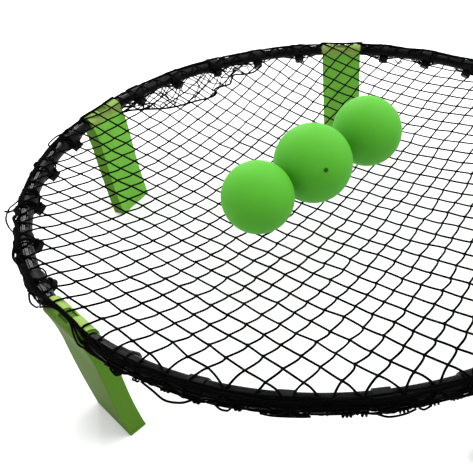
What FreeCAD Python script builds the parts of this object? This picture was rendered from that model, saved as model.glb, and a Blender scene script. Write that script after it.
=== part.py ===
import FreeCAD, Part
import math
import os
import Sketcher

# Roundnet set: a 914 mm ring on five green legs, a slack knotted net held by clips, three balls.
# Frame: +Z up, origin on the ground under the ring's centre, one leg on the +Y side.

V = FreeCAD.Vector
doc = FreeCAD.newDocument("roundnet")

SIZES = [
    ("rim_radius", 457.0),          # ring centre line
    ("rim_height", 200.0),          # ring centre line above the ground
    ("tube_outer_radius", 10.0),
    ("tube_inner_radius", 7.4),
    ("spigot_radius", 8.2),
    ("spigot_bore_radius", 6.9),
    ("spigot_length", 27.0),
    ("joint_half_angle", 5.5),      # where a tube's arc meets the straight coupler
    ("joint_gap_angle", 0.008),
    ("coupler_blank_length", 92.0),
    ("coupler_bore_radius", 8.3),
    ("lug_outer_radius", 12.5),
    ("lug_half_width", 10.2),
    ("lug_start_angle", 35.0),
    ("lug_end_angle", 49.0),
    ("sleeve_radius", 12.7),
    ("sleeve_bore_radius", 10.08),
    ("leg_width", 82.4),
    ("leg_wall", 2.6),
    ("recess_width", 21.4),
    ("recess_start_angle", 33.5),
    ("recess_end_angle", 131.0),
    ("clip_outer_radius", 12.0),
    ("clip_bore_radius", 10.2),
    ("clip_length", 19.0),
    ("clip_gap_width", 11.0),
    ("hook_stem_radius", 6.0),
    ("hook_head_radius", 9.4),
    ("hook_head_start", 15.5),
    ("hook_head_end", 22.5),
    ("rope_radius", 1.75),
    ("rope_angle", 35.0),
    ("rope_clearance", 0.3),        # between the rope and a leg's knuckles
    ("net_edge_radius", 462.0),
    ("net_low_height", 146.0),      # underside of the sagging net at its middle
    ("net_clearance", 13.65),       # net's underside to the tube's centre line
    ("net_thickness", 1.6),
    ("ball_wall", 2.2),
    ("valve_radius", 3.6),
    ("valve_hole_radius", 0.8),
    ("valve_proud", 0.3),
    ("ball_one_radius", 54.0),
    ("ball_two_radius", 62.6),
    ("ball_three_radius", 58.8),
    ("ball_gap", 0.3),
]

sheet = doc.addObject("Spreadsheet::Sheet", "dims")
for row, (name, value) in enumerate(SIZES, start=1):
    sheet.set("A%d" % row, name)
    sheet.set("B%d" % row, repr(value))
    sheet.setAlias("B%d" % row, name)
doc.recompute()


def size(name):
    return float(sheet.get(name))


LEG_COUNT = 5
LEG_STEP = 360.0 / LEG_COUNT
CLIPS_PER_TUBE = 5
CLIP_STEP = LEG_STEP / (CLIPS_PER_TUBE + 1)

H = size("rim_height")
R = size("rim_radius")
DELTA = size("joint_half_angle")
AXIS_R = R * math.cos(math.radians(DELTA))      # distance of the straight hinge line
CROSS = R * math.sin(math.radians(DELTA))       # where the chord meets the circle

nodes = []


def leg_azimuth(i):
    return 90.0 + LEG_STEP * i


def outward(az):
    a = math.radians(az)
    return V(math.cos(a), math.sin(a), 0)


def tangent(az):
    a = math.radians(az)
    return V(-math.sin(a), math.cos(a), 0)


def turned(az, z=0.0):
    return FreeCAD.Placement(V(0, 0, z), FreeCAD.Rotation(V(0, 0, 1), az))


def cylinder(name, radius, start, direction, length):
    c = doc.addObject("Part::Cylinder", name)
    c.setExpression("Radius", "dims." + radius)
    c.Height = length
    c.Placement = FreeCAD.Placement(start, FreeCAD.Rotation(V(0, 0, 1), direction))
    return c


def fuse(name, parts):
    f = doc.addObject("Part::MultiFuse", name)
    f.Shapes = parts
    return f


def cut(name, base, tool):
    c = doc.addObject("Part::Cut", name)
    c.Base = base
    c.Tool = tool
    return c


def plane(body, role):
    for feature in body.Origin.OriginFeatures:
        if feature.Role == role:
            return feature
    raise ValueError(role)


def sketch_on(body, name, role):
    s = body.newObject("Sketcher::SketchObject", name)
    s.AttachmentSupport = [(plane(body, role), "")]
    s.MapMode = "FlatFace"
    return s


def closed_outline(sketch, points):
    """Join points with straight lines; a point given as (x, y, mid_x, mid_y) ends an arc."""
    last = points[-1]
    previous = V(last[0], last[1], 0)
    for p in points:
        here = V(p[0], p[1], 0)
        if len(p) == 4:
            sketch.addGeometry(Part.Arc(previous, V(p[2], p[3], 0), here), False)
        else:
            sketch.addGeometry(Part.LineSegment(previous, here), False)
        previous = here


def pad(body, name, sketch, length_expression):
    p = body.newObject("PartDesign::Pad", name)
    p.Profile = sketch
    p.Midplane = True
    p.setExpression("Length", length_expression)
    return p


def pocket(body, name, sketch, length_expression):
    p = body.newObject("PartDesign::Pocket", name)
    p.Profile = sketch
    p.Midplane = True
    p.setExpression("Length", length_expression)
    return p


def hinge_circle(sketch, radius_expression):
    sketch.addGeometry(Part.Circle(V(AXIS_R, H, 0), V(0, 0, 1), 5.0), False)
    k = sketch.addConstraint(Sketcher.Constraint("Radius", 0, 5.0))
    sketch.setExpression("Constraints[%d]" % k, radius_expression)


# ---- rim: five curved tubes with a straight spigot at each end -------------------------
def make_tube(i):
    start = leg_azimuth(i)
    end = leg_azimuth(i + 1)
    tag = "tube%d" % (i + 1)
    gap = size("joint_gap_angle")
    outer = doc.addObject("Part::Torus", tag + "_arc")
    outer.setExpression("Radius1", "dims.rim_radius")
    outer.setExpression("Radius2", "dims.tube_outer_radius")
    outer.Angle3 = LEG_STEP - 2 * (DELTA + gap)
    outer.Placement = turned(start + DELTA + gap, H)
    inner = doc.addObject("Part::Torus", tag + "_bore")
    inner.setExpression("Radius1", "dims.rim_radius")
    inner.setExpression("Radius2", "dims.tube_inner_radius")
    inner.Angle3 = LEG_STEP - 2 * DELTA
    inner.Placement = turned(start + DELTA, H)
    solid = [outer]
    hollow = [inner]
    spigot = size("spigot_length")
    for side, az in ((1, start), (-1, end)):
        along = tangent(az) * side
        hub = outward(az) * AXIS_R + V(0, 0, H)
        letter = "a" if side > 0 else "b"
        tip = hub + along * (CROSS - spigot)
        solid.append(cylinder(tag + "_spigot_" + letter, "spigot_radius", tip, along, spigot + 5.0))
        back = tip - along
        hollow.append(cylinder(tag + "_eye_" + letter, "spigot_bore_radius", back, along, spigot + 8.0))
    body = cut("rim_tube_%d" % (i + 1), fuse(tag + "_solid", solid), fuse(tag + "_hollow", hollow))
    nodes.append(("rim_tube_%d" % (i + 1), body))


# ---- leg coupler: straight green sleeve the tubes plug into, with the stop lug ---------
def make_coupler(i):
    body = doc.addObject("PartDesign::Body", "leg_coupler_%d" % (i + 1))
    s = sketch_on(body, "coupler_ring_%d" % (i + 1), "XZ_Plane")
    hinge_circle(s, "dims.tube_outer_radius")
    pad(body, "coupler_pad_%d" % (i + 1), s, "dims.coupler_blank_length")
    doc.recompute()
    lug = sketch_on(body, "lug_outline_%d" % (i + 1), "XZ_Plane")
    low = math.radians(size("lug_start_angle"))
    high = math.radians(size("lug_end_angle"))
    mid = 0.5 * (low + high)
    far = size("lug_outer_radius")
    near = size("coupler_bore_radius") + 0.9

    def polar(r, a):
        return (AXIS_R + r * math.cos(a), H + r * math.sin(a))

    closed_outline(lug, [polar(near, low), polar(far, low), polar(far, high) + polar(far, mid), polar(near, high)])
    pad(body, "lug_pad_%d" % (i + 1), lug, "2 * dims.lug_half_width")
    doc.recompute()
    bore = sketch_on(body, "coupler_bore_%d" % (i + 1), "XZ_Plane")
    hinge_circle(bore, "dims.coupler_bore_radius")
    pocket(body, "coupler_pocket_%d" % (i + 1), bore, "dims.coupler_blank_length + 4")
    doc.recompute()
    # both ends are mitred on the radial planes where the curved tubes begin
    mitre = sketch_on(body, "coupler_mitre_%d" % (i + 1), "XY_Plane")
    slope = math.tan(math.radians(DELTA))
    near_x = AXIS_R - 20.0
    far_x = AXIS_R + 20.0
    for side in (1, -1):
        closed_outline(mitre, [
            (near_x, side * near_x * slope),
            (far_x, side * far_x * slope),
            (far_x, side * 60.0),
            (near_x, side * 60.0),
        ])
    pocket(body, "coupler_ends_%d" % (i + 1), mitre, "2 * (dims.rim_height + 20)")
    body.Placement = turned(leg_azimuth(i))
    nodes.append(("leg_coupler_%d" % (i + 1), body))


# ---- leg: hollow moulded leg with two knuckles that turn on the coupler ----------------
# Side profile as (distance from the ring's axis, height).
OUTER_TOP = (AXIS_R + 12.3, 197.0)
OUTER_FOOT = (455.5, 0.0)
INNER_FOOT = (430.5, 0.0)
INNER_TOP = (AXIS_R - 12.3, 197.0)


def make_leg(i):
    tag = "leg%d" % (i + 1)
    body = doc.addObject("PartDesign::Body", "leg_%d" % (i + 1))
    s = sketch_on(body, tag + "_side", "XZ_Plane")
    closed_outline(s, [
        OUTER_TOP,
        (461.0, 140.0, 462.6, 169.0),
        OUTER_FOOT + (459.5, 70.0),
        INNER_FOOT,
        (436.2, 84.0, 434.4, 42.0),
        (436.3, 160.0, 436.6, 122.0),
        INNER_TOP + (438.2, 180.0),
    ])
    pad(body, tag + "_shell", s, "dims.leg_width")
    doc.recompute()
    soft = []
    half = size("leg_width") / 2.0
    for n, edge in enumerate(body.Tip.Shape.Edges, start=1):
        box = edge.BoundBox
        flat = box.YMax - box.YMin < 0.01 and abs(abs(box.YMin) - half) < 0.01
        if flat and box.ZMax - box.ZMin > 20.0 and box.ZMin < 185.0:
            soft.append("Edge%d" % n)
    rounding = body.newObject("PartDesign::Fillet", tag + "_rounding")
    rounding.Base = (body.Tip if body.Tip != rounding else body.Group[-2], soft)
    rounding.Radius = 1.6
    doc.recompute()
    ring = sketch_on(body, tag + "_sleeve", "XZ_Plane")
    hinge_circle(ring, "dims.sleeve_radius")
    pad(body, tag + "_sleeve_pad", ring, "dims.leg_width")
    doc.recompute()
    core = sketch_on(body, tag + "_core", "XZ_Plane")
    w = size("leg_wall")
    closed_outline(core, [
        (461.0 - w, 178.0),
        (461.0 - w, 140.0),
        (OUTER_FOOT[0] - w, -2.0, 459.5 - w, 70.0),
        (INNER_FOOT[0] + w, -2.0),
        (436.2 + w, 84.0, 434.4 + w, 42.0),
        (436.3 + w, 160.0, 436.6 + w, 122.0),
        (439.3 + w, 178.0),
    ])
    pocket(body, tag + "_hollow", core, "dims.leg_width - 2 * dims.leg_wall")
    doc.recompute()
    eye = sketch_on(body, tag + "_eye", "XZ_Plane")
    hinge_circle(eye, "dims.sleeve_bore_radius")
    pocket(body, tag + "_eye_pocket", eye, "dims.leg_width + 4")
    doc.recompute()
    recess = sketch_on(body, tag + "_recess", "XZ_Plane")
    low = math.radians(size("recess_start_angle"))
    high = math.radians(size("recess_end_angle"))
    far = 22.0
    centre = (AXIS_R, H)
    first = (AXIS_R + far * math.cos(low), H + far * math.sin(low))
    top = (AXIS_R, H + far * 1.3)
    final = (AXIS_R + far * math.cos(high), H + far * math.sin(high))
    closed_outline(recess, [centre, first, top, final])
    pocket(body, tag + "_recess_pocket", recess, "dims.recess_width")
    body.Placement = turned(leg_azimuth(i))
    nodes.append(("leg_%d" % (i + 1), body))


# ---- net clips: split bands snapped on the tube, each with a hook knob below -----------
def make_clip(tag, az):
    hub = outward(az) * R + V(0, 0, H)
    along = tangent(az)
    half = size("clip_length") / 2.0
    band = cylinder(tag + "_band", "clip_outer_radius", hub - along * half, along, 2 * half)
    bore = cylinder(tag + "_bore", "clip_bore_radius", hub - along * (half + 1), along, 2 * half + 2)
    down = outward(az) * -math.cos(math.radians(50.0)) + V(0, 0, -math.sin(math.radians(50.0)))
    stem = cylinder(tag + "_stem", "hook_stem_radius", hub + down * 10.6, down, 8.0)
    reach = size("hook_head_end") - size("hook_head_start")
    head = cylinder(tag + "_head", "hook_head_radius", hub + down * size("hook_head_start"), down, reach)
    gap = doc.addObject("Part::Box", tag + "_gap")
    gap.Length = 2 * half + 2
    gap.setExpression("Width", "dims.clip_gap_width")
    gap.Height = 8.0
    # the split faces outward and down
    split = outward(az) * math.cos(math.radians(35.0)) + V(0, 0, -math.sin(math.radians(35.0)))
    across = split.cross(along)
    turn = FreeCAD.Rotation(along, across, split, "ZXY")
    corner = hub + split * 8.5 - along * (half + 1) - across * (size("clip_gap_width") / 2.0)
    gap.Placement = FreeCAD.Placement(corner, turn)
    solid = fuse(tag + "_solid", [band, stem, head])
    return cut(tag, solid, fuse(tag + "_cutter", [bore, gap]))


def make_clips(i):
    clips = []
    for k in range(CLIPS_PER_TUBE):
        az = leg_azimuth(i) + CLIP_STEP * (k + 1)
        clips.append(make_clip("clip_%d_%d" % (i + 1, k + 1), az))
    group = doc.addObject("Part::Compound", "net_clips_%d" % (i + 1))
    group.Links = clips
    nodes.append(("net_clips_%d" % (i + 1), group))


# ---- net and its border rope ----------------------------------------------------------
# The net hangs as a shallow bowl. Its underside is part of a sphere that passes just over
# the clip bands and touches its lowest point under the ring's centre.
DROP = H - size("net_low_height")
REACH = size("net_clearance")
BOWL_OUTER = (R * R + DROP * DROP - REACH * REACH) / (2.0 * (DROP + REACH))
BOWL_INNER = BOWL_OUTER - size("net_thickness")
BOWL_CENTRE = size("net_low_height") + BOWL_OUTER


def bowl_point(radius, out):
    return (out, BOWL_CENTRE - math.sqrt(radius * radius - out * out))


def make_net():
    net = doc.addObject("PartDesign::Body", "net")
    s = sketch_on(net, "net_section", "XZ_Plane")
    edge = size("net_edge_radius")
    closed_outline(s, [
        bowl_point(BOWL_OUTER, 0.0),
        bowl_point(BOWL_OUTER, edge) + bowl_point(BOWL_OUTER, edge / 2.0),
        bowl_point(BOWL_INNER, edge),
        bowl_point(BOWL_INNER, 0.0) + bowl_point(BOWL_INNER, edge / 2.0),
    ])
    bowl = net.newObject("PartDesign::Revolution", "net_bowl")
    bowl.Profile = s
    bowl.ReferenceAxis = (s, ["V_Axis"])
    bowl.Angle = 360.0
    nodes.append(("net", net))
    rope = doc.addObject("Part::Torus", "net_border_rope")
    reach = "(dims.sleeve_radius + dims.rope_clearance + dims.rope_radius)"
    rope.setExpression("Radius1", "dims.rim_radius + " + reach + " * cos(dims.rope_angle * 1 deg)")
    rope.setExpression("Radius2", "dims.rope_radius")
    rope.setExpression("Placement.Base.z", "dims.rim_height + " + reach + " * sin(dims.rope_angle * 1 deg)")
    nodes.append(("net_border_rope", rope))


# ---- balls: hollow rubber balls with a small inflation valve --------------------------
BALLS = [
    ("ball_1", "ball_one_radius", (-86.6, -123.0), V(-0.35, 0.75, -0.45)),
    ("ball_2", "ball_two_radius", (-15.0, -29.8), V(0.400, -0.846, 0.352)),
    ("ball_3", "ball_three_radius", (66.3, 75.9), V(0.62, 0.55, -0.50)),
]


def make_ball(name, radius_name, spot, valve_way):
    radius = size(radius_name)
    hang = BOWL_INNER - radius - size("ball_gap")
    centre = V(spot[0], spot[1], BOWL_CENTRE - math.sqrt(hang * hang - spot[0] ** 2 - spot[1] ** 2))
    valve_way.normalize()
    skin = doc.addObject("Part::Sphere", name + "_skin")
    skin.setExpression("Radius", "dims." + radius_name)
    skin.Placement.Base = centre
    air = doc.addObject("Part::Sphere", name + "_air")
    air.setExpression("Radius", "dims." + radius_name + " - dims.ball_wall")
    air.Placement.Base = centre
    depth = size("ball_wall") + 1.4
    seat = centre + valve_way * (radius - depth)
    hole = cylinder(name + "_seat", "valve_radius", seat, valve_way, depth + 3.0)
    ball = cut(name, skin, fuse(name + "_space", [air, hole]))
    nodes.append((name, ball))
    plug = cylinder(name + "_plug", "valve_radius", seat, valve_way, depth + size("valve_proud"))
    pin = cylinder(name + "_pin", "valve_hole_radius", seat - valve_way, valve_way, depth + 4.0)
    number = name.split("_")[1]
    nodes.append(("ball_valve_" + number, cut("ball_valve_" + number, plug, pin)))


for index in range(LEG_COUNT):
    make_tube(index)
for index in range(LEG_COUNT):
    make_coupler(index)
for index in range(LEG_COUNT):
    make_leg(index)
for index in range(LEG_COUNT):
    make_clips(index)
make_net()
for ball in BALLS:
    make_ball(*ball)
doc.recompute()

for obj in doc.Objects:
    bad = [word for word in obj.State if word in ("Invalid", "Error")]
    if bad:
        raise RuntimeError("%s is %s" % (obj.Name, bad))

os.makedirs("parts", exist_ok=True)
for label, obj in nodes:
    obj.Label = label
    shape = obj.Shape
    if shape.isNull() or not shape.isValid() or shape.Volume <= 0:
        raise RuntimeError("%s has no valid solid" % label)
    shape.exportStep("parts/%s.step" % label)
    print("%-18s solids %d  volume %.1f cm3" % (label, len(shape.Solids), shape.Volume / 1000.0))
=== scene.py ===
import math
import random

import bpy
from mathutils import Matrix, Vector


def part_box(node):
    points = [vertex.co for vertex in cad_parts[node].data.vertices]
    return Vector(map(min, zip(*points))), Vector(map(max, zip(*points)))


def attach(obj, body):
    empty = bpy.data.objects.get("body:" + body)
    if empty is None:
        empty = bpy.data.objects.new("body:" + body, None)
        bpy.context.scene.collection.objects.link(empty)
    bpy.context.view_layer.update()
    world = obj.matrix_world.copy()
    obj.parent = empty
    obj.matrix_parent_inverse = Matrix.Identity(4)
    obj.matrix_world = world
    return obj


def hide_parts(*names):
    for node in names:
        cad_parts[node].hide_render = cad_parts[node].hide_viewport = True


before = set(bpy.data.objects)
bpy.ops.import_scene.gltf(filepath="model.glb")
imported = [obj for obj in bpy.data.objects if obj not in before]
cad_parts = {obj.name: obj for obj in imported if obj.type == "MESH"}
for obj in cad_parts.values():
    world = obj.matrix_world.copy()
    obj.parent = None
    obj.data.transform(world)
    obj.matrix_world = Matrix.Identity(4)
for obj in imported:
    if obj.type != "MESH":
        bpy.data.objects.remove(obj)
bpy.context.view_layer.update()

# ---- sizes of the frame, in metres ------------------------------------------------------
RIM_R = 0.457               # ring centre line
RIM_H = 0.200
TUBE_R = 0.010
BAND_R = 0.012              # outside of a clip's band
SLEEVE_R = 0.0127           # outside of a leg's knuckles
NET_REACH = 0.01365         # underside of the net to the tube's centre line
NET_THICK = 0.0016
NET_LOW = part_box("net")[0].z
DROP = RIM_H - NET_LOW
BOWL_R = (RIM_R ** 2 + DROP ** 2 - NET_REACH ** 2) / (2 * (DROP + NET_REACH))
BOWL_Z = NET_LOW + BOWL_R
LEGS = 5
LEG_STEP = 72.0
CLIP_STEP = 12.0
FIRST_LEG = 90.0            # azimuth of leg 1
CORD_R = 0.00125
NET_CORD_R = 0.00142
LIE = 0.0011                # centre of a cord that lies on the tube or a band, above its surface
LIE_ON_SLEEVE = 0.0017
TOUCH = math.degrees(math.atan2(BOWL_Z - RIM_H, -RIM_R))   # where the net leaves the tube


def smooth(t):
    t = max(0.0, min(1.0, t))
    return t * t * (3 - 2 * t)


def lerp(a, b, t):
    return a + (b - a) * t


def polar(az, r, z):
    a = math.radians(az)
    return Vector((r * math.cos(a), r * math.sin(a), z))


def on_rim(az, phi, reach):
    """A point beside the tube: az round the ring, phi round the tube from outward to up."""
    p = math.radians(phi)
    return polar(az, RIM_R + reach * math.cos(p), RIM_H + reach * math.sin(p))


def bowl(x, y, lift=0.0):
    """A point of the net's middle surface, moved lift towards the bowl's centre."""
    r = BOWL_R - NET_THICK * 0.62 - lift
    return Vector((x, y, BOWL_Z - math.sqrt(r * r - x * x - y * y)))


# ---- camera -----------------------------------------------------------------------------
VIEW_TURN = 5.536            # degrees from the view's own axes to the frame's
VIEW_DISTANCE = 0.9307
VIEW_RISE = 31.7786
YAW, PITCH, ROLL = -2.4441, 39.4153, -3.0073
FOCAL = 1.2074270613107823    # focal length, in picture widths
SHIFT_X = -0.15010570824524314    # picture widths


def make_camera():
    yaw, pitch, roll = math.radians(YAW), math.radians(PITCH), math.radians(ROLL)
    rise = math.radians(VIEW_RISE)
    place = Vector((0, -VIEW_DISTANCE * math.cos(rise), VIEW_DISTANCE * math.sin(rise) + RIM_H))
    level = math.cos(pitch)
    ahead = Vector((math.sin(yaw) * level, math.cos(yaw) * level, -math.sin(pitch)))
    right = ahead.cross(Vector((0, 0, 1))).normalized()
    up = right.cross(ahead)
    right_r = right * math.cos(roll) + up * math.sin(roll)
    up_r = up * math.cos(roll) - right * math.sin(roll)
    turn = Matrix.Rotation(math.radians(VIEW_TURN), 3, "Z")
    axes = Matrix((turn @ right_r, turn @ up_r, turn @ -ahead)).transposed()
    data = bpy.data.cameras.new("view_camera")
    data.sensor_width = 36.0
    data.lens = FOCAL * 36.0
    data.shift_x = SHIFT_X
    data.clip_start = 0.02
    data.clip_end = 50.0
    cam = bpy.data.objects.new("view_camera", data)
    cam.matrix_world = Matrix.Translation(turn @ place) @ axes.to_4x4()
    bpy.context.scene.collection.objects.link(cam)
    bpy.context.scene.camera = cam
    return cam


camera = make_camera()


# ---- materials --------------------------------------------------------------------------
class Nodes:
    """A short way to write node trees."""

    def __init__(self, name):
        self.material = bpy.data.materials.new(name)
        self.material.use_nodes = True
        self.tree = self.material.node_tree
        self.shader = self.tree.nodes["Principled BSDF"]

    def add(self, kind, **values):
        node = self.tree.nodes.new(kind)
        for key, value in values.items():
            setattr(node, key, value)
        return node

    def link(self, a, b):
        self.tree.links.new(a, b)

    def put(self, **values):
        for key, value in values.items():
            self.shader.inputs[key.replace("_", " ")].default_value = value

    def noise(self, scale, detail=3.0, rough=0.55, stretch=(1, 1, 1)):
        where = self.add("ShaderNodeTexCoord")
        mapping = self.add("ShaderNodeMapping")
        mapping.inputs["Scale"].default_value = stretch
        self.link(where.outputs["Object"], mapping.inputs["Vector"])
        n = self.add("ShaderNodeTexNoise")
        n.inputs["Scale"].default_value = scale
        n.inputs["Detail"].default_value = detail
        n.inputs["Roughness"].default_value = rough
        self.link(mapping.outputs["Vector"], n.inputs["Vector"])
        return n.outputs["Fac"]

    def ramp(self, source, stops):
        r = self.add("ShaderNodeValToRGB")
        while len(r.color_ramp.elements) < len(stops):
            r.color_ramp.elements.new(0.5)
        for element, (place, colour) in zip(r.color_ramp.elements, stops):
            element.position = place
            element.color = (*colour, 1.0)
        self.link(source, r.inputs["Fac"])
        return r.outputs["Color"]

    def span(self, source, low, high):
        m = self.add("ShaderNodeMapRange")
        m.inputs["To Min"].default_value = low
        m.inputs["To Max"].default_value = high
        self.link(source, m.inputs["Value"])
        return m.outputs["Result"]

    def bump(self, source, distance, strength=1.0):
        b = self.add("ShaderNodeBump")
        b.inputs["Distance"].default_value = distance
        b.inputs["Strength"].default_value = strength
        self.link(source, b.inputs["Height"])
        self.link(b.outputs["Normal"], self.shader.inputs["Normal"])
        return b

    def mix(self, factor, a, b, mode="MIX"):
        m = self.add("ShaderNodeMix", data_type="RGBA", blend_type=mode)
        if isinstance(factor, float):
            m.inputs[0].default_value = factor
        else:
            self.link(factor, m.inputs[0])
        for socket, value in ((6, a), (7, b)):
            if isinstance(value, tuple):
                m.inputs[socket].default_value = (*value, 1.0)
            else:
                self.link(value, m.inputs[socket])
        return m.outputs[2]


def cord_material():
    n = Nodes("black_cord")
    fibre = n.noise(900.0, 3.0, 0.6)
    colour = n.ramp(fibre, [(0.30, (0.0004, 0.0004, 0.0005)), (0.75, (0.0013, 0.0013, 0.0014))])
    n.link(colour, n.shader.inputs["Base Color"])
    n.link(n.span(fibre, 0.50, 0.75), n.shader.inputs["Roughness"])
    n.put(Specular_IOR_Level=0.01)
    n.bump(fibre, 0.0002, 0.6)
    return n.material


def tube_material():
    n = Nodes("gloss_black_tube")
    streak = n.noise(160.0, 3.0, 0.6)
    cloud = n.noise(28.0, 2.0, 0.5)
    colour = n.ramp(streak, [(0.3, (0.0006, 0.0006, 0.0007)), (0.8, (0.0016, 0.0016, 0.0017))])
    n.link(colour, n.shader.inputs["Base Color"])
    n.link(n.span(cloud, 0.08, 0.15), n.shader.inputs["Roughness"])
    n.put(Specular_IOR_Level=0.055)
    n.bump(streak, 0.00003, 0.4)
    return n.material


def clip_material():
    n = Nodes("matte_clip")
    grain = n.noise(700.0, 3.0, 0.6)
    cloud = n.noise(60.0, 2.0, 0.5)
    colour = n.ramp(cloud, [(0.3, (0.0028, 0.0028, 0.0030)), (0.8, (0.0058, 0.0058, 0.0062))])
    n.link(colour, n.shader.inputs["Base Color"])
    n.link(n.span(grain, 0.38, 0.58), n.shader.inputs["Roughness"])
    n.put(Specular_IOR_Level=0.05)
    n.bump(grain, 0.00012, 0.5)
    return n.material


def leg_material(name, light, dark, outer, side, top):
    """Moulded green plastic with painted light and shade: walls that face out from the ring or along it
    get darker painted-shade tints, and upward faces and inner faces near the knuckle tops get a pale
    painted-light tint.
    """
    n = Nodes(name)
    grain = n.noise(620.0, 4.0, 0.6)
    cloud = n.noise(16.0, 3.0, 0.55, (1.0, 1.0, 0.35))
    scuff = n.noise(90.0, 5.0, 0.7, (1.0, 1.0, 0.12))
    base = n.ramp(cloud, [(0.28, dark), (0.72, light)])
    where = n.add("ShaderNodeTexCoord")
    flat = n.add("ShaderNodeVectorMath", operation="MULTIPLY")
    flat.inputs[1].default_value = (1.0, 1.0, 0.0)
    n.link(where.outputs["Object"], flat.inputs[0])
    unit = n.add("ShaderNodeVectorMath", operation="NORMALIZE")
    n.link(flat.outputs["Vector"], unit.inputs[0])
    facing = n.add("ShaderNodeVectorMath", operation="DOT_PRODUCT")
    n.link(unit.outputs["Vector"], facing.inputs[0])
    n.link(where.outputs["Normal"], facing.inputs[1])
    round_ring = n.add("ShaderNodeVectorMath", operation="CROSS_PRODUCT")
    round_ring.inputs[0].default_value = (0.0, 0.0, 1.0)
    n.link(unit.outputs["Vector"], round_ring.inputs[1])
    along = n.add("ShaderNodeVectorMath", operation="DOT_PRODUCT")
    n.link(round_ring.outputs["Vector"], along.inputs[0])
    n.link(where.outputs["Normal"], along.inputs[1])
    sideways = n.add("ShaderNodeMath", operation="ABSOLUTE")
    n.link(along.outputs["Value"], sideways.inputs[0])
    # painted light: faces that point up, and inner walls in the band just below the knuckle tops, are
    # marked for a pale lit tint
    up = n.add("ShaderNodeSeparateXYZ")
    n.link(where.outputs["Normal"], up.inputs["Vector"])
    height = n.add("ShaderNodeSeparateXYZ")
    n.link(where.outputs["Object"], height.inputs["Vector"])
    high = n.add("ShaderNodeMapRange")
    high.inputs["From Min"].default_value = 0.184
    high.inputs["From Max"].default_value = 0.200
    n.link(height.outputs["Z"], high.inputs["Value"])
    lifted = n.add("ShaderNodeMath", operation="MULTIPLY")
    n.link(high.outputs["Result"], lifted.inputs[0])
    lifted.inputs[1].default_value = 0.75
    bright = n.add("ShaderNodeMath", operation="MAXIMUM")
    n.link(up.outputs["Z"], bright.inputs[0])
    n.link(lifted.outputs["Value"], bright.inputs[1])
    inner = n.add("ShaderNodeMapRange")
    inner.inputs["From Min"].default_value = 0.16
    inner.inputs["From Max"].default_value = -0.02
    n.link(facing.outputs["Value"], inner.inputs["Value"])
    pale = n.add("ShaderNodeMath", operation="MULTIPLY")
    n.link(bright.outputs["Value"], pale.inputs[0])
    n.link(inner.outputs["Result"], pale.inputs[1])
    steps = [(0.30, (0.0, 0.0, 0.0)), (0.75, (1.0, 1.0, 1.0))]
    # painted shade: walls facing out from the ring, then walls facing along it, are mixed towards darker
    # tints
    colour = n.mix(n.ramp(facing.outputs["Value"], steps), base, outer)
    colour = n.mix(n.ramp(sideways.outputs["Value"], steps), colour, side)
    # painted light: the pale top tint is mixed in where that mask is high
    lit = n.ramp(pale.outputs["Value"], [(0.25, (0.0, 0.0, 0.0)), (0.70, (0.9, 0.9, 0.9))])
    colour = n.mix(lit, colour, top)
    worn = n.ramp(scuff, [(0.60, (0.0, 0.0, 0.0)), (0.78, (0.08, 0.08, 0.08))])
    colour = n.mix(worn, colour, top)
    n.link(colour, n.shader.inputs["Base Color"])
    n.link(n.span(scuff, 0.46, 0.62), n.shader.inputs["Roughness"])
    n.put(Specular_IOR_Level=0.04)
    n.bump(grain, 0.0001, 0.45)
    return n.material


def ball_material():
    n = Nodes("matte_green_rubber")
    grain = n.noise(900.0, 4.0, 0.65)
    cloud = n.noise(22.0, 3.0, 0.55)
    base = n.ramp(cloud, [(0.25, (0.060, 0.298, 0.017)), (0.8, (0.066, 0.318, 0.020))])
    n.link(base, n.shader.inputs["Base Color"])
    n.link(n.span(grain, 0.50, 0.66), n.shader.inputs["Roughness"])
    n.put(Specular_IOR_Level=0.12)
    n.bump(grain, 0.00016, 0.5)
    return n.material


def valve_material():
    n = Nodes("valve_rubber")
    grain = n.noise(800.0, 3.0, 0.6)
    colour = n.ramp(grain, [(0.3, (0.016, 0.070, 0.006)), (0.8, (0.022, 0.086, 0.008))])
    n.link(colour, n.shader.inputs["Base Color"])
    n.link(n.span(grain, 0.45, 0.6), n.shader.inputs["Roughness"])
    n.put(Specular_IOR_Level=0.05)
    n.bump(grain, 0.0001, 0.5)
    return n.material


cord_mat = cord_material()
tube_mat = tube_material()
clip_mat = clip_material()
# leg colours: inner-face tone light and dark, then painted shade for outer walls and for sides, then a
# pale painted-light tint for tops
leg_mat = leg_material("green_moulded_leg", (0.128, 0.365, 0.042), (0.102, 0.300, 0.032),
                       (0.050, 0.098, 0.007), (0.058, 0.148, 0.011), (0.190, 0.268, 0.066))
# the coupler's dark green is painted shade of the recess in the knuckles where it shows
coupler_mat = leg_material("green_coupler", (0.055, 0.135, 0.014), (0.042, 0.110, 0.010),
                           (0.050, 0.120, 0.012), (0.050, 0.120, 0.012), (0.065, 0.145, 0.016))
ball_mat = ball_material()
valve_mat = valve_material()


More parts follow.
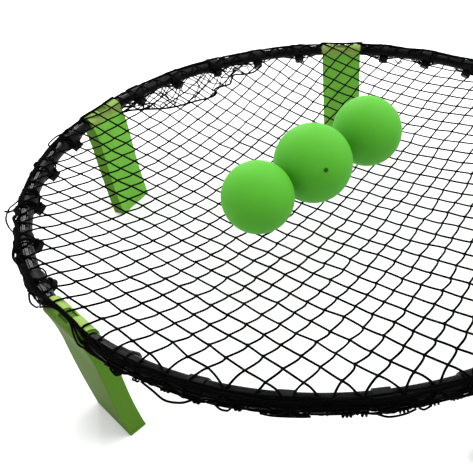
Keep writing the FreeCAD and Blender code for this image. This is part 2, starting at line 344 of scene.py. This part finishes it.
# ---- mesh helpers -----------------------------------------------------------------------
class Mesh:
    """Vertices and faces that many tubes are added to."""

    def __init__(self):
        self.points = []
        self.faces = []

    def tube(self, path, radius, sides=6):
        """A closed tube along path."""
        count = len(path)
        first = len(self.points)
        ahead = (path[1] - path[0]).normalized()
        side = ahead.orthogonal().normalized()
        for k in range(count):
            a = path[max(k - 1, 0)]
            b = path[min(k + 1, count - 1)]
            way = b - a
            way = way.normalized() if way.length > 1e-9 else ahead
            side = side - way * side.dot(way)
            side = side.normalized() if side.length > 1e-6 else way.orthogonal().normalized()
            over = way.cross(side)
            for s in range(sides):
                t = 2 * math.pi * s / sides
                self.points.append(path[k] + (side * math.cos(t) + over * math.sin(t)) * radius)
            ahead = way
        for k in range(count - 1):
            for s in range(sides):
                n = (s + 1) % sides
                a = first + k * sides
                b = a + sides
                self.faces.append((a + s, a + n, b + n, b + s))
        last = first + (count - 1) * sides
        self.faces.append(tuple(first + s for s in reversed(range(sides))))
        self.faces.append(tuple(last + s for s in range(sides)))

    def object(self, name, material):
        mesh = bpy.data.meshes.new(name)
        mesh.from_pydata([tuple(p) for p in self.points], [], self.faces)
        mesh.update()
        mesh.polygons.foreach_set("use_smooth", [True] * len(mesh.polygons))
        mesh.materials.append(material)
        obj = bpy.data.objects.new(name, mesh)
        bpy.context.scene.collection.objects.link(obj)
        return obj


def spline(points, steps=4):
    """A smooth line through points (Catmull-Rom), in steps pieces between each two."""
    out = []
    last = len(points) - 1
    for k in range(last):
        p0 = points[max(k - 1, 0)]
        p1 = points[k]
        p2 = points[k + 1]
        p3 = points[min(k + 2, last)]
        for s in range(steps):
            t = s / steps
            out.append(0.5 * (
                p1 * 2
                + (p2 - p0) * t
                + (p0 * 2 - p1 * 5 + p2 * 4 - p3) * t * t
                + (p1 * 3 - p0 - p2 * 3 + p3) * t * t * t
            ))
    out.append(points[last])
    return out


def ride_ring(obj, slot, *nodes):
    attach(obj, "ring")
    if nodes:
        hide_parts(*nodes)
    return obj


# ---- rim tubes: fluted skin -------------------------------------------------------------
FLUTES = 18
FLUTE_DEPTH = 0.00055
JOINT_ANGLE = 5.5


def make_fluted_tube(i):
    start = FIRST_LEG + LEG_STEP * i + JOINT_ANGLE + 0.01
    sweep = LEG_STEP - 2 * JOINT_ANGLE - 0.02
    rows = 96
    sides = FLUTES * 6
    m = Mesh()
    for k in range(rows + 1):
        az = start + sweep * k / rows
        near_end = min(k, rows - k) / 1.5
        depth = FLUTE_DEPTH * smooth(near_end)
        for s in range(sides):
            phi = 360.0 * s / sides
            wave = abs(math.sin(math.radians(phi * FLUTES / 2.0)))
            m.points.append(on_rim(az, phi, TUBE_R - depth * (1.0 - wave ** 0.6)))
    for k in range(rows):
        for s in range(sides):
            n = (s + 1) % sides
            a = k * sides
            b = a + sides
            m.faces.append((a + s, b + s, b + n, a + n))
    last = rows * sides
    m.faces.append(tuple(range(sides)))
    m.faces.append(tuple(last + s for s in reversed(range(sides))))
    obj = m.object("rim_tube_%d_fluted" % (i + 1), tube_mat)
    ride_ring(obj, "rim_plastic", "rim_tube_%d" % (i + 1))


for index in range(LEGS):
    make_fluted_tube(index)


# ---- net --------------------------------------------------------------------------------
# Knots lie on a lattice of two strand families. It is slack, so its lines bow and its meshes
# open and close: the terms below are metres at twelve meshes from the lattice's own origin.
NET_ORIGIN = Vector((-0.1786, 0.1563))
MESHES = 12.0
LATTICE = {
    (0, 1): Vector((0.2736, -0.1625)),
    (0, 2): Vector((0.0242, -0.0074)),
    (0, 3): Vector((-0.0101, 0.0071)),
    (1, 0): Vector((0.1301, 0.3122)),
    (1, 1): Vector((-0.0023, -0.0506)),
    (1, 2): Vector((0.0081, 0.0363)),
    (2, 0): Vector((-0.0075, 0.0032)),
    (2, 1): Vector((0.0109, -0.0106)),
    (3, 0): Vector((0.0123, -0.0108)),
}
A_RANGE = (-18, 14)          # the lines bow within these meshes and run straight on beyond
B_RANGE = (-9, 20)
STRAND_A = LATTICE[1, 0] / MESHES
STRAND_B = LATTICE[0, 1] / MESHES
HALF_COUNT = 30
# place along a bar of the mesh, and the share of the bar's bow there
BAR = ((0.25, 0.45), (0.50, 0.85), (0.72, 1.0), (0.88, 0.72))
NET_EDGE = RIM_R + NET_REACH * math.cos(math.radians(TOUCH))

rng = random.Random(412)


def off_nearest(az, step):
    """Degrees from az to the nearest of the pieces that stand step apart from leg 1 on."""
    return abs((az - FIRST_LEG + step / 2) % step - step / 2)


def band_nearness(az):
    """1 on a clip's band, 0 between the bands."""
    if off_nearest(az, LEG_STEP) < CLIP_STEP / 2:
        return 0.0
    return smooth((2.2 - off_nearest(az, CLIP_STEP)) / 0.8)


def rim_reach(az):
    """How far from the tube's centre line a cord lies when it is pulled tight."""
    tight = lerp(TUBE_R + LIE, BAND_R + LIE, band_nearness(az))
    return lerp(tight, SLEEVE_R + LIE_ON_SLEEVE, smooth((5.9 - off_nearest(az, LEG_STEP)) / 0.5))


def leg_rise(az):
    """1 over a leg, where the border is pulled straight across the top of the knuckles."""
    return smooth((10.5 - off_nearest(az, LEG_STEP)) / 9.5)


jitter = {}


def knot(i, j):
    """Knot of strand i of family B and strand j of family A."""
    if (i, j) not in jitter:
        jitter[i, j] = (rng.gauss(0, 0.0011), rng.gauss(0, 0.0011), rng.gauss(0, 0.0006))
    dx, dy, _ = jitter[i, j]
    u = max(A_RANGE[0], min(A_RANGE[1], i)) / MESHES
    v = max(B_RANGE[0], min(B_RANGE[1], j)) / MESHES
    p = NET_ORIGIN + STRAND_A * i + STRAND_B * j
    for (m, n), term in LATTICE.items():
        if m + n > 1:
            p = p + term * (u ** m * v ** n)
    return p + Vector((dx, dy))


for a in range(-HALF_COUNT, HALF_COUNT + 20):
    for b in range(-HALF_COUNT, HALF_COUNT + 20):
        knot(a, b)


def inside_knots(line):
    return [k for k in line if knot(*k).length < NET_EDGE - 0.007]


def net_line(line, mesh, ends, side):
    """One strand: through its knots, then out to the rim and over the tube.
    Each bar bows to one side, more where the net is slack in front."""
    inner = inside_knots(line)
    if len(inner) < 2:
        return
    flat = [knot(*k) for k in inner]
    points = []
    for n, spot in enumerate(flat):
        points.append(bowl(spot.x, spot.y))
        if n + 1 < len(flat):
            middle = (spot + flat[n + 1]) / 2
            slack = smooth(0.5 - middle.y / 0.6)
            bow = rng.gauss(0, 0.0005) + (0.0003 + 0.0018 * slack if side.x else 0.0)
            way = flat[n + 1] - spot
            sag = abs(rng.gauss(0, 0.0004))
            for t, share in BAR:
                where = spot + way * t + side.normalized() * (bow * share)
                points.append(bowl(where.x, where.y, -sag * share))
    head = over_rim(flat[0], flat[0] - flat[1], ends)
    tail = over_rim(flat[-1], flat[-1] - flat[-2], ends)
    start = spline(list(reversed(head)) + points[:1], 3)[:-1]
    finish = spline(points[-1:] + tail, 3)[1:]
    path = start + points + finish
    mesh.tube(path, NET_CORD_R, 6)


def over_rim(spot, way, ends):
    """From the last knot to the tube, over its top and down its outside to the rope."""
    way = way.normalized()
    b = spot.dot(way)
    c = spot.length_squared - NET_EDGE ** 2
    reach = -b + math.sqrt(max(b * b - c, 0.0))
    edge = spot + way * reach
    # a strand that would run a long way beside the rim is drawn across it instead
    radial = spot.normalized()
    limit = 0.032
    if reach > limit:
        edge = (spot + way * limit * 0.75)
        edge = edge.normalized() * NET_EDGE
    az = math.degrees(math.atan2(edge.y, edge.x))
    slope = way.dot(Vector((-radial.y, radial.x)))
    drift = slope * 1.6 + rng.uniform(-0.5, 0.5)
    out = []
    gap = (edge - spot).length
    if gap > 0.012:
        mid = (spot + edge) / 2
        out.append(bowl(mid.x, mid.y))
    steps = (0.0, 0.33, 0.66, 1.0)
    final = lerp(rng.uniform(22.0, 42.0), 88.0, leg_rise(az))
    for t in steps:
        here = az + drift * t
        phi = lerp(TOUCH, final, t)
        out.append(on_rim(here, phi, rim_reach(here)))
    ends.append((az + drift, final, slope))
    return out


def make_knot(mesh, spot, along_a, along_b):
    """A pulled-tight sheet bend: a short fat wrap of cord round the crossing."""
    centre = bowl(spot.x, spot.y, -0.0003)
    u = Vector((along_a.x, along_a.y, 0)).normalized()
    v = Vector((along_b.x, along_b.y, 0)).normalized()
    w = u.cross(v).normalized()
    turn = rng.uniform(0, 2 * math.pi)
    size = rng.uniform(0.9, 1.12)
    path = []
    for k in range(9):
        t = turn + k * 0.95
        lean = (k - 4) * 0.00022
        ring = u * math.cos(t) * 0.00125 + v * math.sin(t) * 0.00095
        path.append(centre + ring * size + w * (math.sin(t * 2.0) * 0.0005) + u * lean)
    mesh.tube(path, 0.00105 * size, 5)


def make_net():
    mesh = Mesh()
    ends = []
    span = range(-HALF_COUNT, HALF_COUNT + 20)
    for a in span:
        net_line([(a, b) for b in span], mesh, ends, Vector((0.0, 1.0)))
    for b in span:
        net_line([(a, b) for a in span], mesh, ends, STRAND_B)
    for a in span:
        for b in span:
            spot = knot(a, b)
            if spot.length < NET_EDGE - 0.007:
                make_knot(mesh, spot, STRAND_A, STRAND_B)
    obj = mesh.object("net_strands", cord_mat)
    ride_ring(obj, "net_cord", "net")
    return ends


strand_ends = make_net()


# ---- border rope and the net gathered round the rim --------------------------------------
def wander(seed, amount, per_turn):
    """A smooth random value round the ring, the same at 0 and 360 degrees."""
    r = random.Random(seed)
    values = [r.uniform(-amount, amount) for _ in range(per_turn)]

    def at(az):
        x = (az % 360.0) / 360.0 * per_turn
        k = int(x)
        t = smooth(x - k)
        return lerp(values[k % per_turn], values[(k + 1) % per_turn], t)

    return at


def leg_nearness(az):
    """1 where a leg's knuckles are on the tube, 0 well away from them."""
    return smooth((8.2 - off_nearest(az, LEG_STEP)) / 2.4)


HOOK_PHI = -130.0            # where a clip's hook leaves the tube
# the gathered cords: angle round the tube, its swing, stand-off, looseness, radius, seed
HEM_CORDS = (
    (74.0, 12.0, 0.0002, 0.0010, 0.0011, 101),
    (62.0, 16.0, 0.0004, 0.0016, 0.0012, 111),
    (44.0, 20.0, 0.0004, 0.0022, 0.0012, 121),
    (26.0, 22.0, 0.0003, 0.0022, 0.0012, 125),
    (4.0, 20.0, 0.0001, 0.0014, 0.0012, 131),
    (-22.0, 16.0, 0.0, 0.0010, 0.0011, 137),
    (-58.0, 14.0, 0.0002, 0.0022, 0.0012, 141),
)
# where the gathered cords hang off the tube: azimuth, half width, gap
SLACK = ((201.5, 1.4, 0.0034), (204.8, 1.8, 0.0048), (213.5, 1.5, 0.0042), (216.7, 1.6, 0.0046))


def rim_line(az, phi, off):
    """A cord beside the rim; at the legs every cord comes up to the top of the knuckles."""
    rise = leg_rise(az)
    upper = smooth((phi - 12.0) / 20.0)
    for middle, half, gap in SLACK:
        hang = smooth((half - abs(az % 360.0 - middle)) / half) * upper
        phi = lerp(phi, 50.0, 0.75 * hang)
        off += gap * hang
    phi_on_leg = 90.0 + 0.08 * (phi - 60.0)
    reach = rim_reach(az) + lerp(off, 0.35 * off, rise)
    return on_rim(az, lerp(phi, phi_on_leg, rise), reach)


def ring_cord(mesh, phi0, swing, standoff, loose, radius, seed):
    """A cord right round the rim on its outside, pulled in at the bands and the legs."""
    waves = 70
    phi_at = wander(seed, swing, waves)
    off_at = wander(seed + 1, 1.0, waves)
    path = []
    steps = 900
    for k in range(steps):
        az = 360.0 * k / steps
        free = 1.0 - band_nearness(az)
        off = standoff + (0.5 + 0.5 * off_at(az)) * loose * free
        phi = phi0 + phi_at(az) * (0.35 + 0.65 * free)
        path.append(rim_line(az, phi, off))
    path.append(path[0])
    mesh.tube(path, radius, 5)


def loop(mesh, spots, radius=CORD_R):
    """A loose bight through (azimuth, angle round the tube, reach) points."""
    path = [on_rim(az, phi, reach) for az, phi, reach in spots]
    mesh.tube(spline(path, 6), radius, 6)


def make_border():
    mesh = Mesh()
    # the rope itself: three strands laid round one line
    lay = 150.0
    phi_at = wander(77, 12.0, 60)
    off_at = wander(78, 1.0, 60)
    for strand in range(3):
        path = []
        steps = 2400
        for k in range(steps + 1):
            az = 360.0 * k / steps
            turn = math.radians(360.0 * (lay * k / steps) + 120.0 * strand)
            free = 1.0 - band_nearness(az)
            line = rim_line(az, 52.0 + phi_at(az) * (0.3 + 0.7 * free),
                            0.0011 + (0.5 + 0.5 * off_at(az)) * 0.0022 * free)
            out = polar(az, 1.0, 0.0)
            round_line = out * math.cos(turn) + Vector((0, 0, 1)) * math.sin(turn)
            path.append(line + round_line * 0.00105)
        mesh.tube(path, 0.00115, 5)
    obj = mesh.object("net_border_laid_rope", cord_mat)
    ride_ring(obj, "net_cord", "net_border_rope")

    hem = Mesh()
    for line in HEM_CORDS:
        ring_cord(hem, *line)
    # the strands that came over the top run on down the outside as ties
    r = random.Random(9)
    for az, phi, slope in strand_ends:
        if leg_nearness(az) > 0.05:
            continue
        for _ in range(2):
            end = -r.uniform(10.0, 70.0)
            drift = slope * 2.4 + r.uniform(-2.2, 2.2)
            loose = r.uniform(0.0, 0.0012)
            path = []
            for k in range(6):
                t = k / 5.0
                here = az + drift * t
                bulge = math.sin(math.pi * t) * loose
                path.append(on_rim(here, lerp(phi, end, t), rim_reach(here) + 0.0003 + bulge))
            hem.tube(spline(path, 3), CORD_R, 5)
    # bights of the border cord hitched round each hook's neck
    for i in range(LEGS):
        for k in range(1, 6):
            hook = FIRST_LEG + LEG_STEP * i + CLIP_STEP * k
            for side in (-1, 1):
                for n in range(3):
                    start = hook + side * r.uniform(1.6, 5.0)
                    phi0 = -r.uniform(40.0, 84.0)
                    path = []
                    for q in range(7):
                        t = q / 6.0
                        here = lerp(start, hook, smooth(t))
                        phi = lerp(phi0, HOOK_PHI, t)
                        off = lerp(rim_reach(here) + 0.0010, 0.0132 + 0.0008 * n, smooth(t))
                        path.append(on_rim(here, phi, off))
                    hem.tube(spline(path, 3), CORD_R, 5)
            down = on_rim(hook, HOOK_PHI, 1.0) - on_rim(hook, HOOK_PHI, 0.0)
            along = polar(hook + 90.0, 1.0, 0.0)
            over = down.cross(along)
            path = []
            turns = 4
            for q in range(turns * 12 + 1):
                t = 2 * math.pi * q / 12
                at = on_rim(hook, HOOK_PHI, 0.0128 + 0.0030 * q / (turns * 12))
                swell = 0.0016 * math.sin(math.pi * q / (turns * 12))
                wide = 0.0078 + swell + r.uniform(-0.0003, 0.0003)
                path.append(at + (along * math.cos(t) + over * math.sin(t)) * wide)
            hem.tube(path, CORD_R, 5)
    # turns of cord wound round the tube beside some of the clips
    for hook, side, turns in ((198, -1, 4), (198, 1, 3), (210, 1, 2), (222, -1, 1), (174, 1, 3),
                              (186, -1, 2), (126, 1, 2), (66, -1, 2), (30, 1, 3), (342, -1, 2)):
        path = []
        start = hook + side * 1.35
        for q in range(turns * 16 + 1):
            t = q / 16.0
            wobble = 0.10 * math.sin(t * 9.0)
            here = start + side * (0.32 * t + wobble)
            path.append(on_rim(here, 40.0 - 360.0 * t, rim_reach(here) + 0.0004))
        hem.tube(path, CORD_R, 5)
    # small hitches where the gathered net is tied to itself
    az = 0.0
    while az < 360.0:
        az += r.uniform(2.2, 5.5)
        if leg_nearness(az) > 0.0:
            continue
        low = 235.0 < az < 305.0
        phi = r.uniform(-44.0, -14.0) if low else r.uniform(24.0, 78.0)
        wide = r.uniform(0.0013, 0.0022)
        turns = r.choice((1.5, 2.0, 3.0))
        centre = rim_reach(az) + wide * 0.8
        path = []
        for q in range(int(turns * 8) + 1):
            t = 2 * math.pi * q / 8
            here = phi + math.degrees(wide / TUBE_R) * math.cos(t)
            path.append(on_rim(az + 0.06 * q, here, centre + wide * math.sin(t)))
        hem.tube(path, CORD_R, 5)
    # loose bights and tails that stand out on the left and hang below in front
    loop(hem, [(197.6, 30, 0.0135), (198.6, 18, 0.018), (200.2, 14, 0.0245), (202.6, 8, 0.0265),
               (204.8, 2, 0.022), (206.8, 4, 0.0150), (208.0, 20, 0.0145)])
    loop(hem, [(199.6, 60, 0.0130), (200.4, 30, 0.0150), (200.9, 16, 0.0200), (200.8, 12, 0.0300)], 0.0015)
    loop(hem, [(200.0, 10, 0.0140), (200.5, 10, 0.0205), (201.4, 16, 0.0240), (201.6, 30, 0.0180),
               (202.6, 40, 0.0135)])
    loop(hem, [(210.5, 20, 0.0140), (212.0, 6, 0.0150), (213.4, 0, 0.0168), (214.2, 8, 0.0170),
               (215.4, 12, 0.0150), (217.6, 10, 0.0135), (219.4, 20, 0.0140)])
    loop(hem, [(211.8, 34, 0.0150), (213.6, 20, 0.0175), (215.6, 22, 0.0175), (218.8, 40, 0.0130)])
    loop(hem, [(223.8, 0, 0.0150), (225.2, -14, 0.0190), (226.6, -20, 0.0170), (227.6, 0, 0.0145)])
    loop(hem, [(173.4, 34, 0.0135), (174.4, 26, 0.0190), (176.0, 18, 0.0225), (177.8, 18, 0.0220),
               (178.8, 30, 0.0165), (178.6, 44, 0.0135)], 0.0014)
    loop(hem, [(249.6, -60, 0.0150), (251.4, -62, 0.0200), (253.4, -66, 0.0275), (255.6, -70, 0.0255),
               (257.4, -60, 0.0160)], 0.0014)
    loop(hem, [(260.6, -70, 0.0160), (261.2, -74, 0.0215), (262.2, -72, 0.0210), (262.8, -60, 0.0150)])
    loop(hem, [(244.6, -40, 0.0150), (245.6, -52, 0.0200), (246.6, -46, 0.0150)])
    loop(hem, [(281.2, -66, 0.0155), (282.8, -74, 0.0230), (284.8, -74, 0.0225), (286.2, -60, 0.0155)])
    loop(hem, [(286.6, -60, 0.0150), (287.4, -72, 0.0205), (288.2, -60, 0.0150)])
    loop(hem, [(266.8, -60, 0.0155), (268.4, -72, 0.0190), (271.6, -74, 0.0185), (273.0, -60, 0.0150)])
    loop(hem, [(74.6, -120, 0.0150), (73.9, -135, 0.0210), (73.2, -142, 0.0240), (72.6, -138, 0.0200),
               (73.0, -125, 0.0160)])
    loop(hem, [(68.4, -100, 0.0150), (67.0, -120, 0.0190), (65.8, -100, 0.0150)])
    # the same on the sides that face away
    for n in range(26):
        az = r.choice((r.uniform(300, 352), r.uniform(4, 60), r.uniform(100, 150)))
        if leg_nearness(az) > 0.05 or leg_nearness(az + 3) > 0.05:
            continue
        phi = r.uniform(-80, 30)
        far = r.uniform(0.017, 0.023)
        wide = r.uniform(0.8, 3.0)
        loop(hem, [(az, phi, 0.0145), (az + wide * 0.3, phi - 8, far),
                   (az + wide * 0.7, phi - 10, far - 0.001), (az + wide, phi, 0.0145)])
    obj = hem.object("net_gathered_hem", cord_mat)
    ride_ring(obj, "net_cord")


make_border()


# ---- surplus net hanging inside the rim, with its thick border cord -----------------------
SURPLUS_R = 0.434
# how low the border cord hangs: azimuth and height
SURPLUS_EDGE = [(158.5, 0.193), (156.0, 0.190), (151.5, 0.178), (145.0, 0.158),
                (140.6, 0.150), (134.5, 0.1455), (129.3, 0.1430), (127.6, 0.149),
                (128.2, 0.156), (126.8, 0.160), (123.4, 0.161), (122.6, 0.172),
                (121.6, 0.180), (119.0, 0.176), (116.0, 0.178), (113.4, 0.186)]


def surplus_low(az):
    for (a0, z0), (a1, z1) in zip(SURPLUS_EDGE, SURPLUS_EDGE[1:]):
        if a1 <= az <= a0:
            return lerp(z0, z1, (a0 - az) / max(a0 - a1, 1e-6))
    return 0.188


def make_surplus():
    mesh = Mesh()
    r = random.Random(31)
    path = [polar(az, SURPLUS_R + r.gauss(0, 0.0012), z) for az, z in SURPLUS_EDGE]
    line = spline(path, 6)
    mesh.tube(line, 0.0019, 6)
    twist = []
    for n, p in enumerate(line):
        t = n * 1.1
        twist.append(p + Vector((math.cos(t), math.sin(t * 0.8), math.sin(t))) * 0.0012)
    mesh.tube(twist, 0.0011, 5)
    # crumpled meshes between the rim's underside and the border cord
    columns = 20
    rows = 4
    grid = {}
    for c in range(columns + 1):
        az = lerp(157.5, 117.0, c / columns) + r.uniform(-0.5, 0.5)
        low = surplus_low(az)
        for q in range(rows + 1):
            t = q / rows
            z = lerp(0.196, low, t) + (r.uniform(-0.004, 0.004) if 0 < q < rows else 0.0)
            rad = lerp(0.444, SURPLUS_R, t) + (r.uniform(-0.006, 0.004) if 0 < q < rows else 0.0)
            grid[c, q] = polar(az + (r.uniform(-0.8, 0.8) if 0 < q < rows else 0.0), rad, z)
    for c in range(columns + 1):
        for way in (-1, 1):
            if r.random() < 0.12:
                continue
            points = []
            col = c
            for q in range(rows + 1):
                points.append(grid[col, q])
                col += way if (q % 2 == 0 or r.random() < 0.6) else 0
                if not 0 <= col <= columns:
                    break
            if len(points) > 2:
                mesh.tube(spline(points, 4), 0.00120, 5)
    obj = mesh.object("net_surplus_and_border_cord", cord_mat)
    ride_ring(obj, "net_cord")


make_surplus()


# ---- materials of the CAD nodes ----------------------------------------------------------
def dress(node, material):
    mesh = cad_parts[node].data
    mesh.materials.clear()
    mesh.materials.append(material)


for index in range(LEGS):
    dress("leg_%d" % (index + 1), leg_mat)
    dress("leg_coupler_%d" % (index + 1), coupler_mat)
    dress("net_clips_%d" % (index + 1), clip_mat)
for index in range(3):
    dress("ball_%d" % (index + 1), ball_mat)
    dress("ball_valve_%d" % (index + 1), valve_mat)


# ---- floor and light --------------------------------------------------------------------
def make_stage():
    floor_mesh = bpy.data.meshes.new("floor")
    s = 30.0
    floor_mesh.from_pydata([(-s, -s, 0), (s, -s, 0), (s, s, 0), (-s, s, 0)], [], [(0, 1, 2, 3)])
    floor = bpy.data.objects.new("floor", floor_mesh)
    bpy.context.scene.collection.objects.link(floor)
    n = Nodes("pale_floor")
    speck = n.noise(3.0, 2.0, 0.5)
    tone = n.ramp(speck, [(0.2, (0.850, 0.850, 0.852)), (0.8, (0.865, 0.865, 0.867))])
    n.link(tone, n.shader.inputs["Base Color"])
    n.put(Roughness=0.9, Specular_IOR_Level=0.0)
    floor_mesh.materials.append(n.material)

    # a white room that is dim behind the viewer
    world = bpy.data.worlds.new("studio")
    world.use_nodes = True
    tree = world.node_tree
    way_in = tree.nodes.new("ShaderNodeTexCoord")
    front = tree.nodes.new("ShaderNodeVectorMath")
    front.operation = "DOT_PRODUCT"
    front.inputs[1].default_value = Vector((0.42, -0.84, 0.28)).normalized()
    dim = tree.nodes.new("ShaderNodeMapRange")
    dim.interpolation_type = "SMOOTHSTEP"
    for key, value in (("From Min", -0.20), ("From Max", 0.75), ("To Min", 2.00), ("To Max", 0.70)):
        dim.inputs[key].default_value = value
    tree.links.new(way_in.outputs["Generated"], front.inputs[0])
    tree.links.new(front.outputs["Value"], dim.inputs["Value"])
    tree.links.new(dim.outputs["Result"], tree.nodes["Background"].inputs["Strength"])
    tree.nodes["Background"].inputs["Color"].default_value = (1, 1, 1, 1)
    bpy.context.scene.world = world

    for name, energy, angle, way in (("soft_key", 2.7, 44.0, (0.55, 0.20, 1.0)),
                                     ("back_light", 1.0, 9.0, (-0.38, 0.75, 0.54))):
        data = bpy.data.lights.new(name, "SUN")
        data.energy = energy
        data.angle = math.radians(angle)
        lamp = bpy.data.objects.new(name, data)
        lamp.rotation_mode = "QUATERNION"
        lamp.rotation_quaternion = (-Vector(way)).to_track_quat("-Z", "Y")
        bpy.context.scene.collection.objects.link(lamp)
    bpy.context.scene.view_settings.view_transform = "Standard"
    bpy.context.scene.view_settings.look = "None"


make_stage()

bpy.context.view_layer.update()
